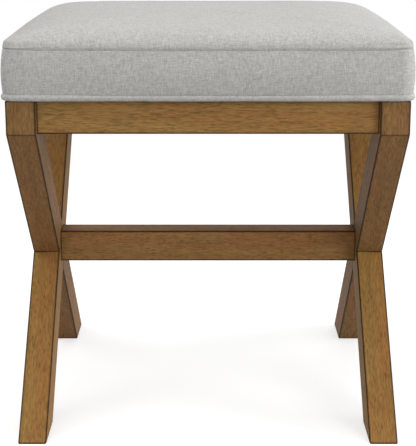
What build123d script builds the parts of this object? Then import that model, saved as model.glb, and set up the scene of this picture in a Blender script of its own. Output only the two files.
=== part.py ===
from build123d import *
from math import asin, atan2, cos, degrees, hypot, pi, sin
import os

# A vanity stool: two X-shaped side frames, an apron under a box cushion, and one low stretcher.
# Millimetres. X runs left to right, Y front to back, Z up. The origin is on the floor,
# under the middle of the stool, and the front of the stool looks towards -Y.

# ---- Driving sizes: wooden frame ----
frame_width = 458.2          # over the outer faces of the legs, along X
frame_depth = 458.2          # over the front and back faces of the leg tops, along Y
bend_height = 377.5          # where a leg turns from its upright top into the slope
leg_thickness = 34.1         # along X
leg_width = 47.0             # square across the slope
foot_inset = 2.0             # toe of each foot behind the face of the leg top above it
lap_clearance = 0.1          # glue line at the shoulders of the half-lap
edge_chamfer = 1.0           # eased edges of all show wood

apron_height = 39.5
apron_thickness = 20.0
apron_setback = 9.6          # aprons behind the outer faces of the legs
apron_tenon_thickness = 10.0
apron_tenon_length = 18.0
apron_tenon_shoulder = 6.0   # above and below the tenon

stretcher_height = 40.8
stretcher_depth = 36.0
stretcher_rise = 3.3         # centre of the stretcher above the centre of the crossing
stretcher_tenon_thickness = 14.0
stretcher_tenon_length = 22.0
stretcher_tenon_shoulder = 7.0
mortise_end_clearance = 1.0  # room for glue behind the end of each tenon

corner_block_reach = 62.0    # along each apron, from their inner corner
corner_block_height = 28.0
seat_screw_diameter = 5.0
seat_screw_length = 46.0     # under the head
seat_screw_inset = 10.7      # behind the middle of the block's slanted face
screw_head_diameter = 9.0
screw_head_height = 2.8
screw_head_draft = 0.9       # the head is this much smaller in radius at its outer face
screw_pilot_clearance = 0.5  # pilot hole past the end of the screw

# ---- Driving sizes: upholstered seat ----
board_inset = 4.1            # edge of the seat board inside the faces of the leg tops
board_thickness = 12.0
board_corner_radius = 7.5
foam_thickness = 62.0        # at the middle of the crown
wadding_thickness = 6.0
cover_thickness = 1.5
band_height = 49.0           # from the welt up to the top seam
band_bulge = 1.5             # middle of the band outside its lower edge
seam_pinch = 1.0             # top seam inside the lower edge of the band
dome_plan_power = 3.9        # the crown is a superellipse: power along the plan
dome_rise_power = 3.2        # and power along the height
dome_angles = (0, 5, 12, 25, 40, 58, 75)   # degrees, where the crown's sections are taken
welt_diameter = 8.0
welt_facets = 10
welt_flange_width = 34.0     # sewn allowance turned in under the board
welt_flange_thickness = 1.5
dust_cover_thickness = 0.6
dust_cover_margin = 3.0      # edge of the dust cover inside the edge of the board

# ---- Sizes that follow ----
half_width = frame_width / 2
half_depth = frame_depth / 2
frame_top = bend_height + apron_height
apron_middle_z = bend_height + apron_height / 2
leg_inner = half_width - leg_thickness

leg_run = frame_depth - foot_inset
leg_angle = atan2(bend_height, leg_run) + asin(leg_width / hypot(leg_run, bend_height))
leg_cut = leg_width / sin(leg_angle)             # length of a level cut across the slope
leg_top_inner = half_depth - leg_cut             # inner upright face of a leg top
toe = half_depth - foot_inset
heel = toe - leg_cut
crossing_height = bend_height * (heel + leg_cut / 2) / (heel + half_depth)

apron_middle_x = half_width - apron_setback - apron_thickness / 2
apron_middle_y = half_depth - apron_setback - apron_thickness / 2
apron_inner_x = apron_middle_x - apron_thickness / 2
apron_inner_y = apron_middle_y - apron_thickness / 2
stretcher_middle_z = crossing_height + stretcher_rise

board_half_x = half_width - board_inset
board_half_y = half_depth - board_inset
dust_cover_top = frame_top + dust_cover_thickness
board_bottom = dust_cover_top + welt_flange_thickness
board_top = board_bottom + board_thickness
foam_top = board_top + foam_thickness
seat_top = foam_top + wadding_thickness + cover_thickness
band_bottom = frame_top + welt_diameter
seam_z = band_bottom + band_height

FROM_BASE = (Align.CENTER, Align.CENTER, Align.MIN)


def save(shape, node):
    export_step(shape, f"parts/{node}.step")


def in_x(shape):
    return mirror(shape, about=Plane.YZ)


def in_y(shape):
    return mirror(shape, about=Plane.XZ)


def four_corners(shape):
    """The shape of the right front corner, and the same at the other three corners."""
    return [shape, in_x(shape), in_y(shape), in_x(in_y(shape))]


def less(shape, tools):
    for tool in tools:
        shape = shape - tool
    return shape


# ---- Tenons: each is a plain block that the beam adds and the leg's mortise makes room for ----
def apron_tenon_x(grow_end=0.0):
    """The tenon of a front or back apron, at the right end, around the level of the floor."""
    length = apron_tenon_length + grow_end
    return Pos(leg_inner + length / 2, 0, 0) * Box(
        length, apron_tenon_thickness, apron_height - 2 * apron_tenon_shoulder
    )


def apron_tenon_y(grow_end=0.0):
    """The tenon of a side apron, at the back end."""
    length = apron_tenon_length + grow_end
    return Pos(0, leg_top_inner + length / 2, 0) * Box(
        apron_tenon_thickness, length, apron_height - 2 * apron_tenon_shoulder
    )


def stretcher_tenon(grow_end=0.0):
    length = stretcher_tenon_length + grow_end
    return Pos(leg_inner + length / 2, 0, 0) * Box(
        length, stretcher_tenon_thickness, stretcher_height - 2 * stretcher_tenon_shoulder
    )


def beam(length_x, length_y, height, long_axis, tenon):
    """A rail with eased long edges and a tenon at each end."""
    rail = Box(length_x, length_y, height)
    rail = chamfer(rail.edges().filter_by(long_axis), edge_chamfer)
    other_end = in_x(tenon) if long_axis == Axis.X else in_y(tenon)
    return rail + tenon + other_end


def leg_mortises(front):
    """Mortises in a left leg: one for each apron, and one for the stretcher."""
    side = -1 if front else 1
    across = Pos(0, side * apron_middle_y, apron_middle_z) * in_x(apron_tenon_x(mortise_end_clearance))
    along_tenon = apron_tenon_y(mortise_end_clearance)
    if front:
        along_tenon = in_y(along_tenon)
    along = Pos(-apron_middle_x, 0, apron_middle_z) * along_tenon
    cross = Pos(0, 0, stretcher_middle_z) * in_x(stretcher_tenon(mortise_end_clearance))
    return [across, along, cross]


# ---- Legs ----
def leg_outline(front):
    """Side outline (y, z) of a leg: an upright top, a slope to the far foot, a level sole."""
    points = [
        (-half_depth, bend_height),
        (-half_depth, frame_top),
        (-leg_top_inner, frame_top),
        (-leg_top_inner, bend_height),
        (toe, 0),
        (heel, 0),
    ]
    return points if front else [(-y, z) for y, z in points]


def slope_outline(front):
    """The sloping part alone, which the other leg of the pair is notched for."""
    points = [(-half_depth, bend_height), (-leg_top_inner, bend_height), (toe, 0), (heel, 0)]
    return points if front else [(-y, z) for y, z in points]


def side_prism(outline, x_low, thickness, grow=0.0):
    face = make_face(Polyline(*outline, close=True))
    if grow:
        face = offset(face, grow, kind=Kind.INTERSECTION)
    return extrude(Plane.YZ.offset(x_low) * face, thickness)


def left_leg(front):
    """At the crossing the front leg keeps its outer half and the back leg its inner half."""
    leg = side_prism(leg_outline(front), -half_width, leg_thickness)
    leg = chamfer(leg.edges().filter_by(Axis.X, reverse=True), edge_chamfer)
    lap_start = -half_width + leg_thickness / 2 if front else -half_width
    lap = side_prism(slope_outline(not front), lap_start, leg_thickness / 2, grow=lap_clearance)
    return less(leg, [lap] + leg_mortises(front))


def save_legs():
    for name, front in (("front", True), ("back", False)):
        leg = left_leg(front)
        save(leg, f"left_{name}_leg")
        save(in_x(leg), f"right_{name}_leg")


# ---- Aprons and stretcher ----
def save_beams():
    cross_apron = beam(2 * leg_inner, apron_thickness, apron_height, Axis.X, apron_tenon_x())
    side_apron = beam(apron_thickness, 2 * leg_top_inner, apron_height, Axis.Y, apron_tenon_y())
    save(Pos(0, -apron_middle_y, apron_middle_z) * cross_apron, "front_apron")
    save(Pos(0, apron_middle_y, apron_middle_z) * cross_apron, "back_apron")
    save(Pos(-apron_middle_x, 0, apron_middle_z) * side_apron, "left_apron")
    save(Pos(apron_middle_x, 0, apron_middle_z) * side_apron, "right_apron")
    stretcher = beam(2 * leg_inner, stretcher_depth, stretcher_height, Axis.X, stretcher_tenon())
    save(Pos(0, 0, stretcher_middle_z) * stretcher, "stretcher")


# ---- Corner blocks and the screws that hold the seat ----
block_bottom = apron_middle_z - corner_block_height / 2
screw_inset = corner_block_reach / 2 - seat_screw_inset * 0.5**0.5
seat_screw_place = Pos(apron_inner_x - screw_inset, -(apron_inner_y - screw_inset), block_bottom)


def screw_hole():
    hole = Cylinder(seat_screw_diameter / 2, seat_screw_length + screw_pilot_clearance, align=FROM_BASE)
    return seat_screw_place * hole


def corner_block():
    """A glue block across the right front corner, notched round the leg."""
    outline = [
        (apron_inner_x - corner_block_reach, -apron_inner_y),
        (leg_inner, -apron_inner_y),
        (leg_inner, -leg_top_inner),
        (apron_inner_x, -leg_top_inner),
        (apron_inner_x, -apron_inner_y + corner_block_reach),
    ]
    face = make_face(Polyline(*outline, close=True))
    return extrude(Pos(0, 0, block_bottom) * face, corner_block_height) - screw_hole()


def seat_screw():
    """A screw driven up through the block, its head under the block."""
    head_radius = screw_head_diameter / 2
    head = Cone(head_radius - screw_head_draft, head_radius, screw_head_height, align=FROM_BASE)
    shank = Cylinder(seat_screw_diameter / 2, seat_screw_length, align=FROM_BASE)
    return seat_screw_place * (Pos(0, 0, -screw_head_height) * head + shank)


def save_corners():
    save(Compound(children=four_corners(corner_block())), "corner_blocks")
    save(Compound(children=four_corners(seat_screw())), "seat_screws")


# ---- Seat: every level section of it is the outline of the board, grown or shrunk ----
def board_outline(grow, corner_radius, scale=1.0):
    return RectangleRounded(
        2 * (board_half_x + grow) * scale, 2 * (board_half_y + grow) * scale, corner_radius * scale
    )


def slab(grow, corner_radius, bottom, top):
    return extrude(Pos(0, 0, bottom) * board_outline(grow, corner_radius), top - bottom)


def section(inside, swell, scale, z):
    """A level section of the cushion, a given distance inside the face of the cover."""
    grow = wadding_thickness + cover_thickness - inside
    return Pos(0, 0, z) * board_outline(grow + swell, board_corner_radius + grow, scale)


def dome_sections(inside):
    """The crowned top above the seam."""
    rise = seat_top - seam_z - inside
    sections = []
    for angle in dome_angles:
        turn = angle * pi / 180
        reach = cos(turn) ** (2 / dome_plan_power)
        lift = sin(turn) ** (2 / dome_rise_power)
        sections.append(section(inside, -seam_pinch, reach, seam_z + rise * lift))
    return sections


def side_sections(inside, bottom):
    """The upright sides below the seam, which bulge between the welt and the seam."""
    return [
        section(inside, 0, 1, bottom),
        section(inside, band_bulge, 1, (bottom + seam_z) / 2),
        section(inside, -seam_pinch, 1, seam_z),
    ]


def cushion(inside, bottom):
    """The whole closed form, a given distance inside the face of the cover."""
    return loft(side_sections(inside, bottom) + dome_sections(inside)[1:], ruled=True)


def welt():
    """A round cord along the lower edge, with the allowance that is stapled under the board."""
    line_radius = board_corner_radius + wadding_thickness
    line_z = frame_top + welt_diameter / 2
    line = Pos(0, 0, line_z) * board_outline(wadding_thickness, line_radius).wire()
    cord_section = Plane(origin=line @ 0, z_dir=line % 0) * RegularPolygon(welt_diameter / 2, welt_facets)
    cord = sweep(cord_section, path=line)
    flange_outer = wadding_thickness - welt_flange_thickness
    flange_inner = wadding_thickness - welt_flange_width
    flange = slab(flange_outer, line_radius, dust_cover_top, board_bottom)
    return cord + (flange - slab(flange_inner, line_radius, dust_cover_top, board_bottom))


def save_seat():
    screw_holes = four_corners(screw_hole())
    board = slab(0, board_corner_radius, board_bottom, board_top)
    foam = cushion(wadding_thickness + cover_thickness, board_top)
    wadding = cushion(cover_thickness, band_bottom)
    dust_cover = slab(-dust_cover_margin, board_corner_radius, frame_top, dust_cover_top)
    save(less(board, screw_holes), "seat_board")
    save(foam, "seat_foam")
    save(wadding - board - foam, "seat_wadding")
    save(loft(dome_sections(0), ruled=True) - wadding, "top_cover")
    save(loft(side_sections(0, band_bottom), ruled=True) - wadding, "side_band")
    save(welt(), "welt")
    save(less(dust_cover, screw_holes), "dust_cover")


os.makedirs("parts", exist_ok=True)
save_legs()
save_beams()
save_corners()
save_seat()
print(f"leg slope {degrees(leg_angle):.2f} degrees, level cut {leg_cut:.2f}, crossing at {crossing_height:.2f}")
print(f"soles at x {half_width - leg_thickness / 2:.3f}, y {toe - leg_cut / 2:.3f}")
print(f"seat height {seat_top:.2f}, seam at {seam_z:.2f}")
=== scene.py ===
"""The looks of the vanity stool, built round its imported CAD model.

Metres, +Z up, the front looks towards -Y.
"""
import math

import bpy
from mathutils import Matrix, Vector


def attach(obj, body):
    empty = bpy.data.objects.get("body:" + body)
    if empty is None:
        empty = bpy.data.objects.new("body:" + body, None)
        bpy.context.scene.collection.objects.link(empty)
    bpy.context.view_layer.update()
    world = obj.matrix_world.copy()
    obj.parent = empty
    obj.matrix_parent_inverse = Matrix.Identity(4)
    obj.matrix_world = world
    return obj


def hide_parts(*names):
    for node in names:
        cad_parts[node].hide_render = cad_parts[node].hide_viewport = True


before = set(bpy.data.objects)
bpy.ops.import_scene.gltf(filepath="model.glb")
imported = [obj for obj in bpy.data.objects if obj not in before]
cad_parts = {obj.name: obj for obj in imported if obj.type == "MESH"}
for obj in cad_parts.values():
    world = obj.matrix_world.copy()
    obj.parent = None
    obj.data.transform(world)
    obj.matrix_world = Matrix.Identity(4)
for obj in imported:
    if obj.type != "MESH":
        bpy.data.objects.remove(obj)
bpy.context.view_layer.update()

# ---- Camera: solved from the edges of the wooden frame in the photo ----
CAMERA_PLACE = (0.0, -1.684395, 0.640766)
CAMERA_TILT = 0.24601          # radians below level
CAMERA_LENS = 105.08           # mm, for the sensor width below
CAMERA_SENSOR = 36
CAMERA_CLIP = (0.05, 50)

# ---- Wooden frame, as in the CAD model ----
BEND_Z = 0.3775                # where the upright top of a leg meets its slope
FRAME_TOP = 0.417
LEG_ANGLE = math.radians(44.16)        # of a leg's slope, above level

# ---- Seat: board, cover and welt ----
BOARD_BOTTOM = 0.4191
BOARD_TOP = 0.4311
BOARD_PLIES = 7
BAND_BOTTOM = 0.425
SEAM_Z = 0.474
COVER_HALF = 0.2325            # half the width of the cover
SEAM_HALF = COVER_HALF - 0.0010        # the same at its seam
CORNER_RADIUS = 0.0155
WELT_RADIUS = 0.004
WELT_LINE = 0.231              # half the width of the square that the cord's middle follows
WELT_Z = 0.4207
WELT_CORNER = 0.0135


# ---------------------------------------------------------------- materials
def srgb(*values):
    """Linear colour of an sRGB colour given as 0 to 255."""
    linear = []
    for value in values:
        v = value / 255
        linear.append(v / 12.92 if v <= 0.04045 else ((v + 0.055) / 1.055) ** 2.4)
    return (*linear, 1.0)


class Nodes:
    """A short way to write a node tree."""

    def __init__(self, name, owner=None):
        self.material = owner or bpy.data.materials.new(name)
        self.material.use_nodes = True
        self.tree = self.material.node_tree
        self.tree.nodes.clear()

    def put(self, socket, value):
        if isinstance(value, bpy.types.NodeSocket):
            self.tree.links.new(value, socket)
        else:
            socket.default_value = value

    def add(self, kind, inputs=None, out=0, **settings):
        node = self.tree.nodes.new(kind)
        for key, value in settings.items():
            setattr(node, key, value)
        for key, value in (inputs or {}).items():
            self.put(node.inputs[key], value)
        return node.outputs[out] if node.outputs else None

    def math(self, operation, a, b=0.0, c=0.0):
        return self.add("ShaderNodeMath", {0: a, 1: b, 2: c}, operation=operation)

    def plus(self, a, b):
        return self.math("ADD", a, b)

    def minus(self, a, b):
        return self.math("SUBTRACT", a, b)

    def times(self, a, b):
        return self.math("MULTIPLY", a, b)

    def larger(self, a, b):
        return self.math("MAXIMUM", a, b)

    def weighted(self, *parts):
        """Sum of values, each times its share."""
        total = self.times(*parts[0])
        for value, share in parts[1:]:
            total = self.plus(total, self.times(value, share))
        return total

    def dot(self, a, b):
        return self.add("ShaderNodeVectorMath", {0: a, 1: b}, out=1, operation="DOT_PRODUCT")

    def place(self):
        """Object coordinates."""
        return self.add("ShaderNodeTexCoord", out=3)

    def axes(self, place):
        return [self.dot(place, axis) for axis in ((1, 0, 0), (0, 1, 0), (0, 0, 1))]

    def vector(self, x, y, z):
        return self.add("ShaderNodeCombineXYZ", {0: x, 1: y, 2: z})

    def noise(self, vector, scale=1.0, detail=2.0, rough=0.5):
        inputs = {"Vector": vector, "Scale": scale, "Detail": detail, "Roughness": rough}
        return self.add("ShaderNodeTexNoise", inputs)

    def ramp(self, value, low, high, out_low=0.0, out_high=1.0, smooth=True):
        return self.add(
            "ShaderNodeMapRange",
            {"Value": value, 1: low, 2: high, 3: out_low, 4: out_high},
            interpolation_type="SMOOTHSTEP" if smooth else "LINEAR",
        )

    def mix(self, factor, a, b, blend="MIX"):
        """Mix of two colours."""
        inputs = {0: factor, 6: a, 7: b}
        return self.add("ShaderNodeMix", inputs, out=2, data_type="RGBA", blend_type=blend)

    def blend(self, factor, a, b):
        """Mix of two numbers."""
        return self.add("ShaderNodeMix", {0: factor, 2: a, 3: b}, data_type="FLOAT")

    def bump(self, height, strength, distance):
        inputs = {"Height": height, "Strength": strength, "Distance": distance}
        return self.add("ShaderNodeBump", inputs)

    def shader(self, **inputs):
        names = {key.replace("_", " "): value for key, value in inputs.items()}
        surface = self.add("ShaderNodeBsdfPrincipled", names)
        self.add("ShaderNodeOutputMaterial", {"Surface": surface})
        return self.material


# ---- Stained wood ----
WOOD_LIGHT = srgb(157, 117, 66)
WOOD_MID = srgb(139, 102, 57)
WOOD_DARK = srgb(104, 74, 41)
WOOD_RED = srgb(152, 100, 56)
# dark colour of the lines along the eased edges and of the shade painted into the joints
WOOD_EDGE_AND_SHADE = srgb(46, 31, 17)
WOOD_PORE = srgb(62, 43, 24)
# Noise in the grain: times per metre along it and across it, detail, roughness
BROAD = (7.0, 110.0, 3.0, 0.55)
BLUSH = (5.0, 32.0, 2.0, 0.55)
FINE = (80.0, 700.0, 2.0, 0.6)
PORES = (135.0, 1000.0, 0.0, 0.55)
PORE_PATCHES = (18.0, 80.0, 2.0, 0.55)
BLUSH_SHARE, FINE_SHARE, PORE_SHARE, EDGE_AND_SHADE_SHARE = 0.60, 0.46, 0.42, 0.94
WANDER = 0.006                 # metres that the grain lines stray to the side
SEED_SHIFT = 3.7               # moves the noise, so that each member has its own grain
EDGE_RADIUS = 0.0030           # how far the dark line reaches round an eased edge
JOINT_SHADE_REACH = 0.0022           # and how far the painted shade reaches out of a joint


def stained_wood(name, along, flats, seed, tint):
    """Brown stained wood whose grain runs along a direction.

    Faces that look in none of the directions in flats are eased edges.
    """
    n = Nodes(name)
    along = Vector(along).normalized()
    side = along.cross(Vector((1, 0, 0)) if abs(along.x) < 0.5 else Vector((0, 1, 0))).normalized()
    third = along.cross(side)
    p = n.place()
    a, b, c = n.dot(p, along), n.dot(p, side), n.dot(p, third)
    if abs(along.y) > 0.1 and abs(along.z) > 0.1:
        # the upright top of a leg is a block with its own grain
        block = n.math("GREATER_THAN", n.dot(p, (0, 0, 1)), BEND_Z)
        a = n.blend(block, a, n.dot(p, (0, 0, 1)))
        b = n.blend(block, b, n.dot(p, (0, 1, 0)))
    stray = n.noise(n.vector(n.times(a, 5.0), n.times(b, 14.0), c))
    b = n.plus(b, n.times(n.minus(stray, 0.5), WANDER))

    def grain(per_along, per_across, detail, rough):
        point = n.vector(
            n.math("MULTIPLY_ADD", a, per_along, seed * SEED_SHIFT),
            n.times(b, per_across),
            n.times(c, per_across),
        )
        return n.noise(point, 1.0, detail, rough)

    fine = grain(*FINE)
    flecks = n.times(n.ramp(grain(*PORES), 0.54, 0.66), n.ramp(grain(*PORE_PATCHES), 0.22, 0.62))
    colour = n.mix(n.ramp(grain(*BROAD), 0.25, 0.75), WOOD_MID, WOOD_LIGHT)
    colour = n.mix(n.ramp(grain(*BLUSH), 0.42, 0.60, 0.0, BLUSH_SHARE), colour, WOOD_RED)
    colour = n.mix(n.ramp(fine, 0.38, 0.66, 0.0, FINE_SHARE), colour, WOOD_DARK)
    colour = n.mix(n.times(flecks, PORE_SHARE), colour, WOOD_PORE)
    colour = n.mix(1.0, colour, (*tint, 1.0), "MULTIPLY")

    # dark lines along the eased edges, and painted shade in the joints, where ambient occlusion
    # finds another part close by
    true_normal = n.add("ShaderNodeNewGeometry", out=3)
    flat = 0.0
    for direction in flats:
        facing = n.dot(true_normal, Vector(direction).normalized())
        flat = n.larger(flat, n.math("ABSOLUTE", facing))
    eased = n.ramp(flat, 0.985, 0.95)
    rounded = n.add("ShaderNodeBevel", {"Radius": EDGE_RADIUS}, samples=8)
    near_edge = n.ramp(n.dot(true_normal, rounded), 0.998, 0.972)
    joint_occlusion = n.add("ShaderNodeAmbientOcclusion", {"Distance": JOINT_SHADE_REACH}, out=1, samples=6)
    edge = n.larger(n.larger(eased, near_edge), n.ramp(joint_occlusion, 0.80, 0.45))
    colour = n.mix(n.times(edge, EDGE_AND_SHADE_SHARE), colour, WOOD_EDGE_AND_SHADE)
    return n.shader(
        Base_Color=colour,
        Roughness=n.ramp(fine, 0.3, 0.7, 0.58, 0.72),
        Normal=n.bump(n.minus(n.times(fine, 0.3), n.times(flecks, 0.6)), 0.25, 0.0004),
        Specular_IOR_Level=0.12,
    )


def raw_wood(name, colour):
    """Unfinished wood with its grain along X."""
    n = Nodes(name)
    x, y, z = n.axes(n.place())
    along = n.math("MULTIPLY_ADD", x, 12.0, 3.0)
    # the minus sign only chooses the side of the noise that is used
    grain = n.noise(n.vector(along, n.times(y, -320.0), n.times(z, 320.0)), 1.0, 4.0, 0.6)
    dark = tuple(v * 0.62 for v in colour[:3]) + (1.0,)
    return n.shader(
        Base_Color=n.mix(n.ramp(grain, 0.35, 0.7), colour, dark),
        Roughness=n.ramp(grain, 0.3, 0.7, 0.70, 0.85),
        Normal=n.bump(grain, 0.35, 0.0006),
    )


def plywood(name):
    """Face veneer above and below, and the edges of its plies between them."""
    n = Nodes(name)
    x, y, z = n.axes(n.place())
    ply = n.times(n.minus(z, BOARD_BOTTOM), BOARD_PLIES / (BOARD_TOP - BOARD_BOTTOM))
    odd = n.math("GREATER_THAN", n.math("MODULO", ply, 2.0), 1.0)
    grain = n.noise(n.vector(n.times(x, 9.0), n.times(y, 240.0), z), 1.0, 4.0, 0.6)
    colour = n.mix(odd, srgb(206, 172, 128), srgb(150, 112, 74))
    colour = n.mix(n.ramp(grain, 0.35, 0.7, 0.0, 0.5), colour, srgb(158, 122, 84))
    return n.shader(Base_Color=colour, Roughness=0.8, Normal=n.bump(grain, 0.3, 0.0005))


# ---- Cover fabric ----
FABRIC_LIGHT = srgb(203, 202, 199)
FABRIC_DARK = srgb(155, 154, 150)
FABRIC_SEAM = srgb(96, 95, 92)
THREAD = 0.00062               # one thread and its gap
THREAD_WANDER = 0.0012
# Noise in the cloth: times per metre in its two directions, layer, detail
STRAY = (40.0, 40.0, 0.0, 2.0)
WARP = (1200.0, 150.0, 0.3, 2.0)
WEFT = (150.0, 1200.0, 7.3, 2.0)
CLOUD = (26.0, 26.0, 1.7, 3.0)
SPECK = (1150.0, 1150.0, 4.1, 1.0)


def linen(name, bias=0.0, closes_at=None):
    """Plain weave: threads along two directions of the cut cloth, with slubs and a light heather.

    It reads the cloth places that rings_object gives. A strip that closes to a ring at a length
    has a seam where its ends meet.
    """
    n = Nodes(name)
    p = n.add("ShaderNodeAttribute", out=1, attribute_name="cloth")
    a = n.dot(p, (math.cos(bias), math.sin(bias), 0))
    b = n.dot(p, (-math.sin(bias), math.cos(bias), 0))

    def threads(per_a, per_b, layer, detail):
        return n.noise(n.vector(n.times(a, per_a), n.times(b, per_b), layer), 1.0, detail, 0.6)

    wobble = n.times(n.minus(threads(*STRAY), 0.5), THREAD_WANDER)
    turn = 2 * math.pi / THREAD
    wave_a = n.math("SINE", n.times(n.plus(a, wobble), turn))
    wave_b = n.math("SINE", n.times(n.minus(b, wobble), turn))
    over = n.times(wave_a, wave_b)
    # slubs: thin stretches of thread of another thickness and shade
    warp, weft = threads(*WARP), threads(*WEFT)
    shade = n.weighted(
        (warp, 0.37), (weft, 0.33), (threads(*SPECK), 0.26), (threads(*CLOUD), 0.04), (over, 0.05)
    )
    colour = n.mix(n.ramp(shade, 0.35, 0.66), FABRIC_DARK, FABRIC_LIGHT)
    height = n.plus(n.times(over, 0.5), n.plus(warp, weft))
    if closes_at:
        along = n.dot(p, (1, 0, 0))
        to_seam = n.math("MINIMUM", along, n.minus(closes_at, along))
        seam = n.ramp(to_seam, 0.0009, 0.0002)
        colour = n.mix(n.times(seam, 0.7), colour, FABRIC_SEAM)
        height = n.minus(height, n.times(seam, 3.0))
    return n.shader(
        Base_Color=colour,
        Roughness=n.ramp(shade, 0.3, 0.7, 0.95, 0.85),
        Normal=n.bump(height, 0.35, 0.0004),
        Sheen_Weight=0.15,
        Sheen_Roughness=0.5,
        Specular_IOR_Level=0.2,
    )


def soft_filling(name, light, dark, scale):
    """Foam cells or loose fibre."""
    n = Nodes(name)
    cells = n.add("ShaderNodeTexVoronoi", {"Vector": n.place(), "Scale": scale})
    clumps = n.noise(n.place(), scale * 0.2, 4.0)
    return n.shader(
        Base_Color=n.mix(n.ramp(cells, 0.1, 0.6), dark, light),
        Roughness=0.95,
        Normal=n.bump(n.plus(cells, clumps), 0.6, 0.001),
        Sheen_Weight=0.3,
    )


DOT_PITCH = 0.0026


def cambric(name):
    """Non-woven cloth with a grid of pressed dots."""
    n = Nodes(name)
    p = n.place()
    turn = 2 * math.pi / DOT_PITCH
    x, y = n.dot(p, (1, 0, 0)), n.dot(p, (0, 1, 0))
    waves = n.times(n.math("SINE", n.times(x, turn)), n.math("SINE", n.times(y, turn)))
    dots = n.ramp(waves, 0.2, 0.7)
    fibre = n.noise(p, 900.0, 3.0, 0.7)
    colour = n.mix(n.ramp(fibre, 0.35, 0.7), srgb(30, 30, 32), srgb(52, 52, 55))
    return n.shader(
        Base_Color=n.mix(dots, colour, srgb(22, 22, 24)),
        Roughness=n.ramp(dots, 0.0, 1.0, 0.85, 0.6),
        Normal=n.bump(n.minus(n.times(fibre, 0.4), dots), 0.5, 0.0003),
    )


def zinc(name):
    """Zinc plating with faint patches, and fine scratches along the screw."""
    n = Nodes(name)
    p = n.place()
    patches = n.noise(p, 420.0, 3.0)
    scratched = n.vector(n.dot(p, (900, 0, 0)), n.dot(p, (0, 900, 0)), n.dot(p, (0, 0, 60)))
    scratches = n.noise(scratched)
    return n.shader(
        Base_Color=n.mix(n.ramp(patches, 0.35, 0.7), srgb(196, 196, 190), srgb(164, 166, 160)),
        Metallic=1.0,
        Roughness=n.ramp(scratches, 0.3, 0.7, 0.28, 0.45),
        Normal=n.bump(scratches, 0.15, 0.0002),
    )


# ---------------------------------------------------------------- meshes
SIDE_STEPS = 40                # points along half a side of a ring
CORNER_STEPS = 10
BOW = 0.0012                   # how far the middle of a side stands out beyond its corners


def mesh_object(name, vertices, faces, material, smooth=True):
    mesh = bpy.data.meshes.new(name)
    mesh.from_pydata(vertices, [], faces)
    mesh.validate()
    mesh.update()
    for polygon in mesh.polygons:
        polygon.use_smooth = smooth
    mesh.materials.append(material)
    obj = bpy.data.objects.new(name, mesh)
    bpy.context.scene.collection.objects.link(obj)
    return obj


def rounded_square(half, radius, bow_x=0.0, bow_y=None):
    """Points round a square with rounded corners, starting in the middle of the back."""
    radius = min(radius, half * 0.999)
    straight = half - radius
    quarter = []
    # half a side, a corner and the next half side, for the corner at +x, +y
    for i in range(SIDE_STEPS):
        quarter.append((straight * i / SIDE_STEPS, half))
    for i in range(CORNER_STEPS + 1):
        turn = math.pi / 2 * i / CORNER_STEPS
        quarter.append((straight + radius * math.sin(turn), straight + radius * math.cos(turn)))
    for i in range(SIDE_STEPS - 1, 0, -1):
        quarter.append((half, straight * i / SIDE_STEPS))
    bow_y = bow_x if bow_y is None else bow_y
    points = []
    for turn in range(4):
        for x, y in quarter:
            for _ in range(turn):
                x, y = y, -x
            out_x = bow_x * (1 - min(1.0, abs(y) / half) ** 2) * x / half
            out_y = bow_y * (1 - min(1.0, abs(x) / half) ** 2) * y / half
            points.append((x + out_x, y + out_y))
    return points


def middle_of(ring):
    return tuple(sum(point[axis] for point in ring) / len(ring) for axis in range(3))


def rings_object(
    name, rings, material, close_first=False, close_last=False, loop=False, cloth=None
):
    """A skin over rings of equally many points.

    Each end may be closed with a fan, or the last ring joins the first. cloth(ring, point) gives
    the place in the flat cloth that a point is cut from.
    """
    count = len(rings[0])
    vertices = [point for ring in rings for point in ring]
    faces = []
    cut = []
    for r in range(len(rings) if loop else len(rings) - 1):
        below, above = r * count, ((r + 1) % len(rings)) * count
        for i in range(count):
            j = (i + 1) % count
            faces.append((below + j, below + i, above + i, above + j))
            cut += [(r, i + 1), (r, i), (r + 1, i), (r + 1, i + 1)]
    for closed, r, flip in ((close_first, 0, True), (close_last, len(rings) - 1, False)):
        if not closed:
            continue
        start, centre = r * count, len(vertices)
        vertices.append(middle_of(rings[r]))
        for i in range(count):
            edge, ends = (start + (i + 1) % count, start + i), [(r, i + 1), (r, i)]
            faces.append((*(edge[::-1] if flip else edge), centre))
            cut += (ends[::-1] if flip else ends) + [None]
    obj = mesh_object(name, vertices, faces, material)
    if cloth:
        places = obj.data.attributes.new("cloth", "FLOAT_VECTOR", "CORNER")
        for place, corner in zip(places.data, cut, strict=True):
            place.vector = (*cloth(*corner), 0.0) if corner else (0.0, 0.0, 0.0)
    return obj


def distances(points):
    """Way along a line of points, from the first of them."""
    way = [0.0]
    for a, b in zip(points, points[1:]):
        way.append(way[-1] + math.dist(a, b))
    return way


def panel_cloth(rings):
    """Cloth places of a panel that is smoothed down over its rings, from the middle out."""
    front = len(rings[0]) // 2         # the point in the middle of the front
    way = distances([ring[front] for ring in reversed(rings)])[::-1]
    flat = abs(rings[-1][front][1])
    scale = [(way[r] + flat) / abs(ring[front][1]) for r, ring in enumerate(rings)]

    def cloth(r, i):
        x, y = rings[r][i % len(rings[r])][:2]
        return x * scale[r], y * scale[r]
    return cloth


def level_ring(half, radius, z, bow=BOW, lift=None):
    ring = []
    for x, y in rounded_square(half, radius, bow):
        ring.append((x, y, z if lift is None else z + lift(x, y)))
    return ring


# The crown has a roll along the front and the back, a shoulder at the left and the right, a tight
# knee at the corners, and a dome that flattens out. Each is a sum of (rise, reach) steps.
LIP = 0.0020                   # height over which the top panel rolls out above the seam
ROLL = ((0.0026, 0.0008), (0.0150, 0.0120), (0.0055, 0.0900))
SHOULDER = ((0.0043, 0.0031), (0.0182, 0.0345))
DOME = ((0.0182, 0.0345),)
KNEE_RISE, KNEE_REACH = 0.0051, 0.0016
SEAM_DROP, SEAM_LIFT = 0.0010, 0.0016      # the seam is drawn up at the corners


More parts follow.
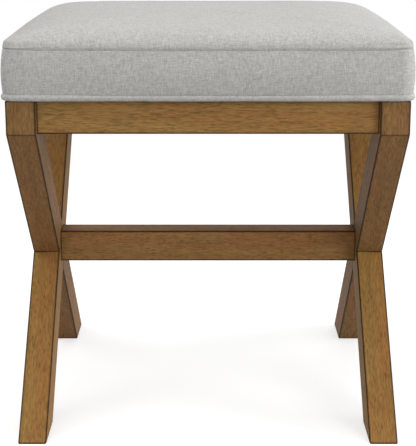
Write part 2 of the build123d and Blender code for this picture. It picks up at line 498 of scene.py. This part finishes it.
def smooth(value):
    t = min(1.0, max(0.0, value))
    return t * t * (3 - 2 * t)


def cornerness(x, y, start):
    """0 along the middle of a side, 1 at its corners."""
    far = max(abs(x), abs(y), 1e-6)
    return smooth((min(abs(x), abs(y)) / far - start) / (1 - start))


def stepped(inward, steps):
    return sum(rise * (1 - math.exp(-inward / reach)) for rise, reach in steps)


def crown_height(inward, x, y):
    """Height above the lip at a distance in from it."""
    knee = KNEE_RISE * (1 - math.exp(-(inward / KNEE_REACH) ** 3)) + stepped(inward, DOME)
    if abs(y) > abs(x):
        edge, corner = stepped(inward, ROLL), cornerness(x, y, 0.75)
    else:
        edge, corner = stepped(inward, SHOULDER), cornerness(x, y, 0.3) ** 0.6
    return edge + (knee - edge) * corner


def seam_lift(x, y):
    return SEAM_LIFT * cornerness(x, y, 0.8) - SEAM_DROP


def soft_wave(x, y, phase):
    """The slight unevenness of a filling under tight cloth, from -1 to 1."""
    return (
        math.sin(9.1 * x + 5.3 * y + phase)
        + math.sin(14.7 * y - 8.2 * x + 1.7 * phase)
        + 0.6 * math.sin(27.0 * x + 19.0 * y + 2.3 * phase)
    ) / 2.6


CROWN_CROWDING = 2.6           # the rings of the crown lie closer together near its edge
CROWN_HOLE = 0.004             # half of the last ring, which a fan closes
CROWN_SPAN = 0.024             # a form that lies this far inside the cover has a flat top
EDGE_FADE = 0.0063             # way in over which the corners tighten and the sides bow
CORNER_TIGHTENS, TIGHTEST_CORNER = 0.0124, 0.003
SIDE_BOWS = (0.0078, 0.0010)   # at the left and right, and at the front and back
CROWN_WAVE = 0.00035


def crown_rings(half, lip_z, inset, steps=50, corner=CORNER_RADIUS):
    """The crown from its lip to the middle; an inset makes it lower, for the fillings inside."""
    rings = []
    lower = 1 - inset / CROWN_SPAN
    for k in range(steps + 1):
        t = (k / steps) ** CROWN_CROWDING
        inward = t * (half - CROWN_HOLE)
        ring_half = half - inward
        near = 1 - math.exp(-inward / EDGE_FADE)
        radius = min(max(corner - CORNER_TIGHTENS * near, TIGHTEST_CORNER), ring_half * 0.98)
        bow_x, bow_y = ((BOW + bows * near) * (1 - t) for bows in SIDE_BOWS)
        ring = []
        for x, y in rounded_square(ring_half, radius, bow_x, bow_y):
            wave = CROWN_WAVE * soft_wave(x, y, 0.4) * min(1.0, inward / 0.03)
            z = lip_z + crown_height(inward, x, y) * lower
            ring.append((x, y, z + wave))
        rings.append(ring)
    return rings


def tucked_rings(steps):
    """Rings that lead an edge of the cover in to the seam: (way in, rise) of each."""
    rings = []
    for inside, rise in steps:
        half, radius = SEAM_HALF - inside, CORNER_RADIUS - inside / 2
        rings.append(level_ring(half, radius, SEAM_Z + rise, lift=seam_lift))
    return rings


PANEL_TUCK = [(0.0010, 0.0003), (0.0008, 0.0010), (0.0005, 0.0018), (0.0002, 0.0026)]
BAND_TUCK = [(0.0002, 0.0000), (0.0006, 0.0002), (0.0010, 0.0003)]


def top_panel(material):
    """Top panel of the cover. Its edge rolls in to the seam."""
    rings = tucked_rings(PANEL_TUCK)
    rings += crown_rings(SEAM_HALF, SEAM_Z + 0.0010 + LIP, 0.0)
    return rings_object("top_panel", rings, material, close_last=True, cloth=panel_cloth(rings))


ROUND_BAND = rounded_square(COVER_HALF, CORNER_RADIUS)
BAND_WAY = distances(ROUND_BAND + ROUND_BAND[:1])
BAND_STEPS = 30
CORNER_BULGE, SIDE_BULGE = 0.0018, 0.0022
BAND_WAVE = 0.00028


def boxing(material):
    """Boxing strip between the seam and the welt, fuller at mid-side than at the corners."""
    bottom, top = BAND_BOTTOM - 0.0012, SEAM_Z - 0.0003
    rings = [
        level_ring(COVER_HALF - 0.0030, CORNER_RADIUS - 0.002, BAND_BOTTOM - 0.0022),
        level_ring(COVER_HALF - 0.0012, CORNER_RADIUS - 0.001, BAND_BOTTOM - 0.0019),
    ]
    for k in range(BAND_STEPS + 1):
        t = k / BAND_STEPS
        z = bottom + (top - bottom) * t
        bulge = math.sin(math.pi * min(1.0, t * 1.02)) ** 0.85
        ring = []
        for x, y in rounded_square(COVER_HALF - 0.0010 * t, CORNER_RADIUS, BOW):
            swell = (CORNER_BULGE + SIDE_BULGE * (1 - cornerness(x, y, 0.2))) * bulge
            wave = BAND_WAVE * soft_wave(2 * x + z, 2 * y - z, 2.1) * math.sin(math.pi * t)
            scale = 1 + (swell + wave) / max(abs(x), abs(y))
            ring.append((x * scale, y * scale, z + seam_lift(x, y) * t ** 3))
        rings.append(ring)
    rings += tucked_rings(BAND_TUCK)

    def cloth(r, i):
        return BAND_WAY[i], rings[r][i % len(rings[r])][2]
    return rings_object("boxing", rings, material, cloth=cloth)


WELT_SIDES = 18


def welt_cord(material):
    """The covered cord."""
    line = rounded_square(WELT_LINE, WELT_CORNER)
    count = len(line)
    rings = []
    for k in range(WELT_SIDES):
        turn = 2 * math.pi * k / WELT_SIDES
        ring = []
        for i, (x, y) in enumerate(line):
            before, after = Vector(line[i - 1]), Vector(line[(i + 1) % count])
            tangent = (after - before).normalized()
            out = Vector((-tangent.y, tangent.x))
            if out.dot(Vector((x, y))) < 0:
                out = -out
            # the cord is a little thinner here and there
            thinner = 0.02 * (1 + math.sin(43 * x + 29 * y))
            radius = WELT_RADIUS * (1 - thinner - 0.015 * math.sin(211 * (x - y)))
            ring.append((x + out.x * radius * math.cos(turn), y + out.y * radius * math.cos(turn),
                         WELT_Z + radius * math.sin(turn)))
        rings.append(ring)

    def cloth(r, i):
        return BAND_WAY[i], 2 * math.pi * WELT_RADIUS * r / WELT_SIDES
    return rings_object("welt_cord", rings, material, loop=True, cloth=cloth)


def cover_allowance(material):
    """The allowance of the cover, turned in flat under the board."""
    outer, inner = WELT_LINE - 0.0020, WELT_LINE - 0.0340
    low, high = FRAME_TOP + 0.0007, BOARD_BOTTOM - 0.0001
    rings = [level_ring(half, radius, z, 0.0)
             for half, radius, z in ((outer, 0.0125, high), (inner, 0.002, high),
                                     (inner, 0.002, low), (outer, 0.0125, low))]

    def cloth(r, i):
        return rings[r % len(rings)][i % len(rings[0])][:2]
    return rings_object("cover_allowance", rings, material, loop=True, cloth=cloth)


FILLING_STEPS = 24             # rings of the crown of a filling
FOAM_INSIDE, FOAM_LEVELS = 0.0075, 8


def foam_block(material):
    """The foam: the cover's form, some way inside it."""
    half, bottom = COVER_HALF - FOAM_INSIDE, BOARD_TOP + 0.0001
    corner = CORNER_RADIUS - FOAM_INSIDE
    rings = []
    for k in range(FOAM_LEVELS):
        t = k / FOAM_LEVELS
        z = bottom + (SEAM_Z - bottom) * t
        rings.append(level_ring(half + 0.0010 * math.sin(math.pi * t) - 0.001 * t, corner, z))
    rings += crown_rings(half - 0.001, SEAM_Z, FOAM_INSIDE, FILLING_STEPS, corner)
    return rings_object("foam_block", rings, material, close_first=True, close_last=True)


WADDING_LEVELS = 6


def wadding_skin(half, inset, corner):
    rings = []
    for k in range(WADDING_LEVELS):
        z = BAND_BOTTOM + (SEAM_Z - BAND_BOTTOM) * k / WADDING_LEVELS
        rings.append(level_ring(half - 0.001 * k / WADDING_LEVELS, corner, z))
    return rings + crown_rings(half - 0.001, SEAM_Z, inset, FILLING_STEPS, corner)


def wadding_wrap(material):
    """Wadding over the foam and down round the edge of the board, with a real thickness."""
    outer = wadding_skin(COVER_HALF - 0.0020, 0.0018, CORNER_RADIUS - 0.002)
    inner = wadding_skin(COVER_HALF - 0.0068, 0.0068, CORNER_RADIUS - 0.007)
    count = len(outer[0])
    vertices = [point for ring in outer + inner for point in ring]
    faces = []
    start = len(outer) * count
    for base, rings, inwards in ((0, outer, False), (start, inner, True)):
        skin = []
        for r in range(len(rings) - 1):
            a, b = base + r * count, base + (r + 1) * count
            for i in range(count):
                j = (i + 1) % count
                skin.append((a + j, a + i, b + i, b + j))
        last, centre = base + (len(rings) - 1) * count, len(vertices)
        vertices.append(middle_of(rings[-1]))
        for i in range(count):
            skin.append((last + (i + 1) % count, last + i, centre))
        faces += [face[::-1] if inwards else face for face in skin]
    for i in range(count):
        j = (i + 1) % count
        faces.append((i, j, start + j, start + i))
    return mesh_object("wadding_wrap", vertices, faces, material)


DUST_HALF, DUST_THICK, DUST_STEPS = 0.222, 0.0006, 60
DUST_HELD = 0.196              # the cloth is held flat outside this distance from the middle
DUST_SAG, DUST_RIPPLE = 0.0022, 0.0004


def dust_cloth(material):
    """Thin non-woven cloth, tight at its rim and slightly slack between."""
    vertices, faces = [], []
    for layer in range(2):
        for i in range(DUST_STEPS + 1):
            for j in range(DUST_STEPS + 1):
                x, y = (DUST_HALF * (2 * step / DUST_STEPS - 1) for step in (i, j))
                inside = max(0.0, 1 - abs(x) / DUST_HELD) * max(0.0, 1 - abs(y) / DUST_HELD)
                ripple = DUST_RIPPLE * math.sin(31 * x + 17 * y) * min(1.0, inside * 6)
                sag = DUST_SAG * min(1.0, inside * 3) + ripple
                vertices.append((x, y, FRAME_TOP + DUST_THICK * layer - max(0.0, sag)))
    row = DUST_STEPS + 1
    size = row * row
    for i in range(DUST_STEPS):
        for j in range(DUST_STEPS):
            a = i * row + j
            faces.append((a, a + 1, a + row + 1, a + row))
            b = a + size
            faces.append((b, b + row, b + row + 1, b + 1))
    last = DUST_STEPS * row
    for i in range(DUST_STEPS):
        rim = (((i + 1) * row, i * row), (i * row + DUST_STEPS, (i + 1) * row + DUST_STEPS),
               (i, i + 1), (last + i + 1, last + i))
        for a, b in rim:
            faces.append((a, b, b + size, a + size))
    return mesh_object("dust_cloth", vertices, faces, material)


# ---------------------------------------------------------------- pieces
fabric_top = linen("fabric_top")
fabric_side = linen("fabric_side", closes_at=BAND_WAY[-1])
fabric_welt = linen("fabric_welt", bias=math.pi / 4, closes_at=BAND_WAY[-1])
foam_cells = soft_filling("foam_cells", srgb(238, 232, 206), srgb(214, 205, 172), 900.0)
wadding_fibre = soft_filling("wadding_fibre", srgb(244, 244, 242), srgb(222, 222, 220), 500.0)

top = top_panel(fabric_top)
side = boxing(fabric_side)
welt = welt_cord(fabric_welt)
allowance = cover_allowance(fabric_top)
foam = foam_block(foam_cells)
wadding = wadding_wrap(wadding_fibre)
dust = dust_cloth(cambric("cambric"))

PIECES = (
    (top, "top_cover", "seat_fabric"),
    (side, "side_band", "seat_fabric"),
    (welt, "welt", "seat_fabric"),
    (allowance, "welt", "seat_fabric"),
    (foam, "seat_foam", "foam"),
    (wadding, "seat_wadding", "wadding"),
    (dust, "dust_cover", "dust_cloth"),
)
for piece, node, slot in PIECES:
    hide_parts(node)
    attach(piece, "root")

# Wooden members: grain direction, the directions their faces look in, seed and tint
FALLING = (0, math.cos(LEG_ANGLE), -math.sin(LEG_ANGLE))
FALLING_FACE = (0, math.sin(LEG_ANGLE), math.cos(LEG_ANGLE))
RISING = (0, math.cos(LEG_ANGLE), math.sin(LEG_ANGLE))
RISING_FACE = (0, -math.sin(LEG_ANGLE), math.cos(LEG_ANGLE))
SQUARE = [(1, 0, 0), (0, 1, 0), (0, 0, 1)]
FRONT_TINT = (0.862, 0.890, 1.055)
BACK_TINT = (0.985, 1.030, 0.925)
RAIL_TINT = (1.145, 1.255, 1.270)
STRETCHER_TINT = (0.955, 0.985, 1.090)
WOOD = {
    "left_front_leg": (FALLING, SQUARE + [FALLING_FACE], 1, FRONT_TINT),
    "right_front_leg": (FALLING, SQUARE + [FALLING_FACE], 2, FRONT_TINT),
    "left_back_leg": (RISING, SQUARE + [RISING_FACE], 3, BACK_TINT),
    "right_back_leg": (RISING, SQUARE + [RISING_FACE], 4, BACK_TINT),
    "front_apron": ((1, 0, 0), SQUARE, 5, RAIL_TINT),
    "back_apron": ((1, 0, 0), SQUARE, 6, RAIL_TINT),
    "left_apron": ((0, 1, 0), SQUARE, 7, RAIL_TINT),
    "right_apron": ((0, 1, 0), SQUARE, 8, RAIL_TINT),
    "stretcher": ((1, 0, 0), SQUARE, 9, STRETCHER_TINT),
}


def finish_node(node, material):
    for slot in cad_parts[node].material_slots:
        slot.material = material


for node, (along, flats, seed, tint) in WOOD.items():
    finish_node(node, stained_wood("wood_" + node, along, flats, seed, tint))
finish_node("corner_blocks", raw_wood("raw_wood", srgb(198, 163, 118)))
finish_node("seat_board", plywood("plywood"))
finish_node("seat_screws", zinc("zinc"))


# ---------------------------------------------------------------- stage
WHITE, BLACK = (1, 1, 1, 1), (0, 0, 0, 1)
FLOOR_REACH = 30.0
FLOOR_FADE = (0.7, 1.6)        # metres from the middle over which the floor turns white
FLOOR_GREY = (0.5, 0.5, 0.5, 1)
FLOOR_GLOW = 0.62
# World: its strength overhead, all round, and in a lobe at the front
WORLD_TOP, WORLD_ROUND, WORLD_FRONT = 1.16, 0.20, 0.50
TOP_EDGE = (0.80, 0.60)        # upward part of the direction over which the top fades
FRONT_EDGE = (0.40, 0.85)      # forward part over which the lobe sets in
# Lamps: place, target, size and power
LAMPS = {
    "left": ((-0.9, -2.8, 1.4), (0, 0, 0.3), 1.6, 16),
    "right": ((2.0, -2.5, 1.2), (0, 0, 0.3), 1.4, 31),
    "side": ((3.0, -0.3, 0.9), (0, 0, 0.3), 1.4, 57),
    "high_left": ((-2.4, -0.4, 2.2), (0, 0, 0.4), 1.4, 24),
    "back": ((0.5, 2.4, 2.2), (0, 0, 0.3), 1.8, 18),
}


def seen_directly(n):
    """1 where the camera, a mirror or clear glass sees a surface, 0 where it lights the object."""
    path = n.tree.nodes.new("ShaderNodeLightPath")
    camera, glossy, through = (
        path.outputs[name] for name in ("Is Camera Ray", "Is Glossy Ray", "Is Transmission Ray")
    )
    return n.larger(n.larger(camera, glossy), through)


def pale_floor():
    """A pale floor that fades to white away from the object, and takes its shadow."""
    n = Nodes("pale_floor")
    far = n.add("ShaderNodeVectorMath", {0: n.place()}, out=1, operation="LENGTH")
    near = n.ramp(far, *FLOOR_FADE, 1.0, 0.0)
    matt = n.add("ShaderNodeBsdfDiffuse", {"Color": n.mix(near, BLACK, FLOOR_GREY)})
    glow = n.times(n.ramp(near, 0.0, 1.0, 1.0, FLOOR_GLOW, smooth=False), seen_directly(n))
    light = n.add("ShaderNodeEmission", {"Color": WHITE, "Strength": glow})
    surface = n.add("ShaderNodeAddShader", {0: matt, 1: light})
    n.add("ShaderNodeOutputMaterial", {"Surface": surface})
    return n.material


def make_floor():
    r = FLOOR_REACH
    corners = [(-r, -r, 0), (r, -r, 0), (r, r, 0), (-r, r, 0)]
    mesh_object("floor", corners, [(0, 1, 2, 3)], pale_floor(), smooth=False)


def area_light(name, place, target, size, power):
    light = bpy.data.lights.new(name, "AREA")
    light.shape = "RECTANGLE"
    light.size = light.size_y = size
    light.energy = power
    obj = bpy.data.objects.new(name, light)
    obj.location = place
    obj.rotation_euler = (Vector(target) - Vector(place)).to_track_quat("-Z", "Y").to_euler()
    bpy.context.scene.collection.objects.link(obj)


def make_world():
    """Soft light, strongest overhead and then from the front; white where it is seen directly."""
    world = bpy.data.worlds.new("studio")
    bpy.context.scene.world = world
    n = Nodes("studio", world)
    towards = n.add("ShaderNodeTexCoord", out=0)
    low = n.ramp(n.dot(towards, (0, 0, 1)), *TOP_EDGE)
    lobe = n.times(n.ramp(n.dot(towards, (0, -1, 0)), *FRONT_EDGE), low)
    strength = n.blend(low, WORLD_TOP, WORLD_ROUND)
    strength = n.blend(lobe, strength, WORLD_FRONT)
    strength = n.larger(strength, seen_directly(n))
    background = n.add("ShaderNodeBackground", {"Color": WHITE, "Strength": strength})
    n.add("ShaderNodeOutputWorld", {"Surface": background})


def make_camera():
    camera = bpy.data.cameras.new("camera")
    camera.lens = CAMERA_LENS
    camera.sensor_width = CAMERA_SENSOR
    camera.sensor_fit = "AUTO"
    camera.clip_start, camera.clip_end = CAMERA_CLIP
    obj = bpy.data.objects.new("camera", camera)
    obj.location = CAMERA_PLACE
    obj.rotation_euler = (math.pi / 2 - CAMERA_TILT, 0, 0)
    bpy.context.scene.collection.objects.link(obj)
    bpy.context.scene.camera = obj


make_floor()
make_world()
make_camera()
for name, settings in LAMPS.items():
    area_light(name, *settings)

bpy.context.scene.view_settings.view_transform = "Standard"
